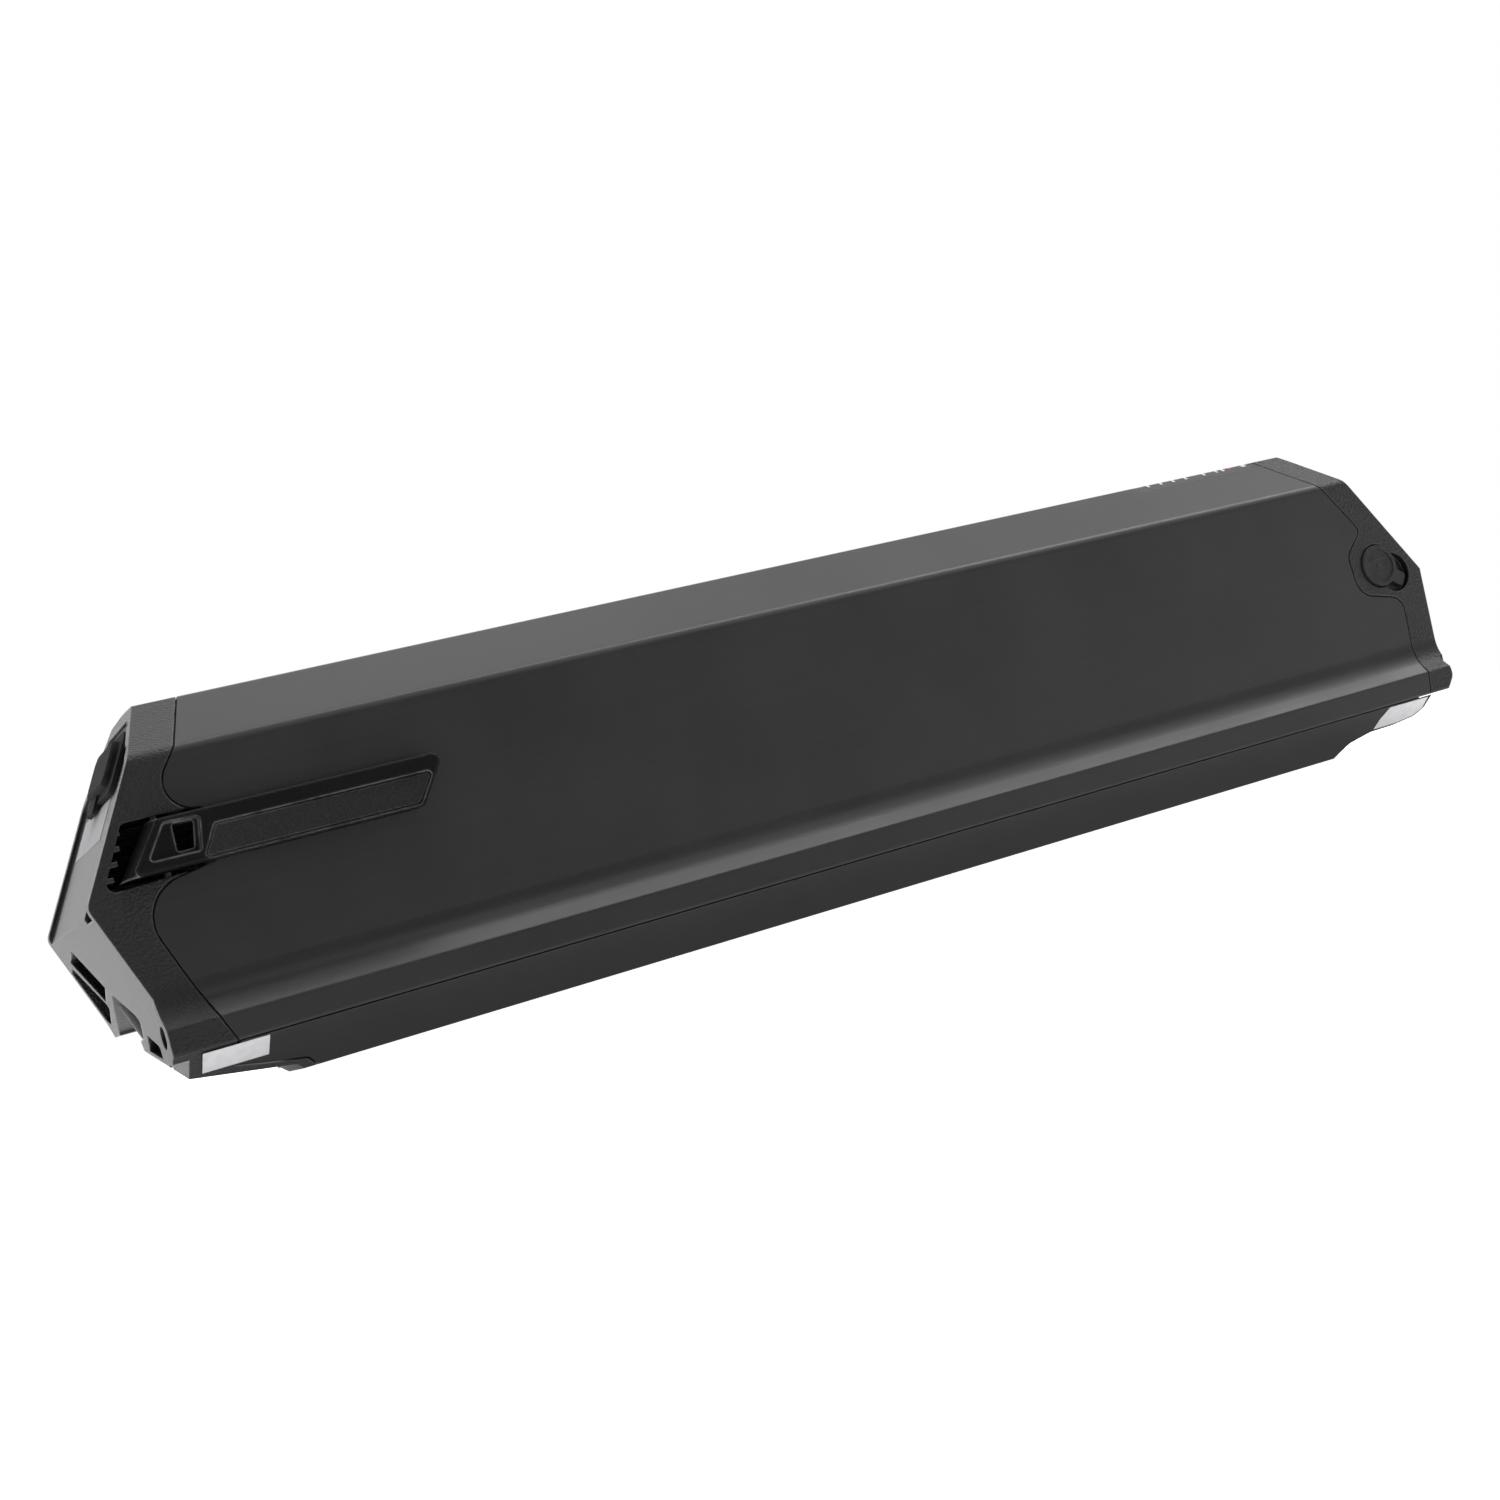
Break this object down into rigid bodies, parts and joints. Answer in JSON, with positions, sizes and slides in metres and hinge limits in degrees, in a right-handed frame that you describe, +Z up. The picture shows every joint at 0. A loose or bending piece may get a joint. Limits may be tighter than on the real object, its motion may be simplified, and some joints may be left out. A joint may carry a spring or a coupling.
{
  "type": "battery pack",
  "caption": "Long bevel-sided electric bicycle battery pack with moulded end caps, a flip-out carry lever, rubber-covered ports and an indicator strip.",
  "frame": {"origin": "centre of the base, on the plane the pack rests on", "axes": "+X along the pack from the lever end to the charging end, +Y away from the side with the lever, +Z up from the base to the crowned top"},
  "size_m": [0.5072, 0.102, 0.1172],
  "materials": {
    "housing_black": "satin black anodised",
    "cap_black": "fine spark texture",
    "base_black": "fine spark texture",
    "gasket_rubber": "soft",
    "screw_steel": "blackened",
    "lever_black": "satin with worn edges",
    "grip_black": "coarse grain",
    "pin_steel": "ground",
    "flap_rubber": "soft matt",
    "socket_black": "moulded",
    "catch_steel": "zinc plated",
    "plug_rubber": "soft matt",
    "contact_brass": "plated",
    "film_black": "printed film",
    "pipe_white": "frosted",
    "status_red": "frosted red",
    "button_black": "soft",
    "board_green": "solder mask",
    "part_black": "moulded",
    "cell_wrap": "shrink sleeve",
    "holder_grey": "moulded",
    "nickel": "nickel strip",
    "insulation_white": "sheet",
    "foam_grey": "closed cell foam",
    "fuse_glass": "clear tube",
    "wire_red": "silicone sleeve",
    "wire_black": "silicone sleeve",
    "wire_white": "flat cable sleeve",
    "label_white": "plain film label",
    "label_silver": "plain silver film label"
  },
  "bodies": {
    "pack": {"housing_extrusion": "housing_black", "base_cover": "base_black", "left_end_cap": "cap_black", "right_end_cap": "cap_black", "left_gasket": "gasket_rubber", "right_gasket": "gasket_rubber", "left_cap_screws": "screw_steel", "right_cap_screws": "screw_steel", "lever_pin": "pin_steel", "port_socket": "socket_black", "lock_catch": "catch_steel", "charge_socket": "socket_black", "discharge_connector": "socket_black", "discharge_contacts": "contact_brass", "indicator_film": "film_black", "light_pipes": "pipe_white", "status_window": "status_red", "indicator_board": "board_green", "cells": "cell_wrap", "cell_holder_near": "holder_grey", "cell_holder_far": "holder_grey", "nickel_strips_near": "nickel", "nickel_strips_far": "nickel", "insulation_sheet_near": "insulation_white", "insulation_sheet_far": "insulation_white", "end_insulator": "part_black", "foam_pads": "foam_grey", "management_board": "board_green", "board_parts": "part_black", "board_tray": "holder_grey", "fuse_holder": "part_black", "main_fuse": "fuse_glass", "positive_wire": "wire_red", "negative_wire": "wire_black", "charge_wires": "wire_black", "sense_ribbon": "wire_white", "temperature_sensor": "part_black", "end_label": "label_silver", "side_label_left": "label_white", "side_label_right": "label_white"},
    "lever": {"carry_lever": "lever_black", "lever_grip": "grip_black"},
    "flap": {"port_flap": "flap_rubber"},
    "plug": {"charge_plug": "plug_rubber"},
    "button": {"power_button": "button_black"}
  },
  "joints": [
    {"name": "lever_swing", "type": "hinge", "parent": "pack", "child": "lever", "pos_m": [-0.2293, -0.0405, 0.0716], "axis": [0, 0, -1], "range_deg": [0, 90]},
    {"name": "flap_open", "type": "hinge", "parent": "pack", "child": "flap", "pos_m": [-0.22611, 0, 0.10999], "axis": [0, 1, 0], "range_deg": [0, 110]},
    {"name": "plug_pull", "type": "slide", "parent": "pack", "child": "plug", "axis": [0, -1, 0], "range_m": [0, 0.02]},
    {"name": "button_press", "type": "slide", "parent": "pack", "child": "button", "axis": [0, 0, -1], "range_m": [0, 0.0007], "stiffness_N_per_m": 400}
  ]
}
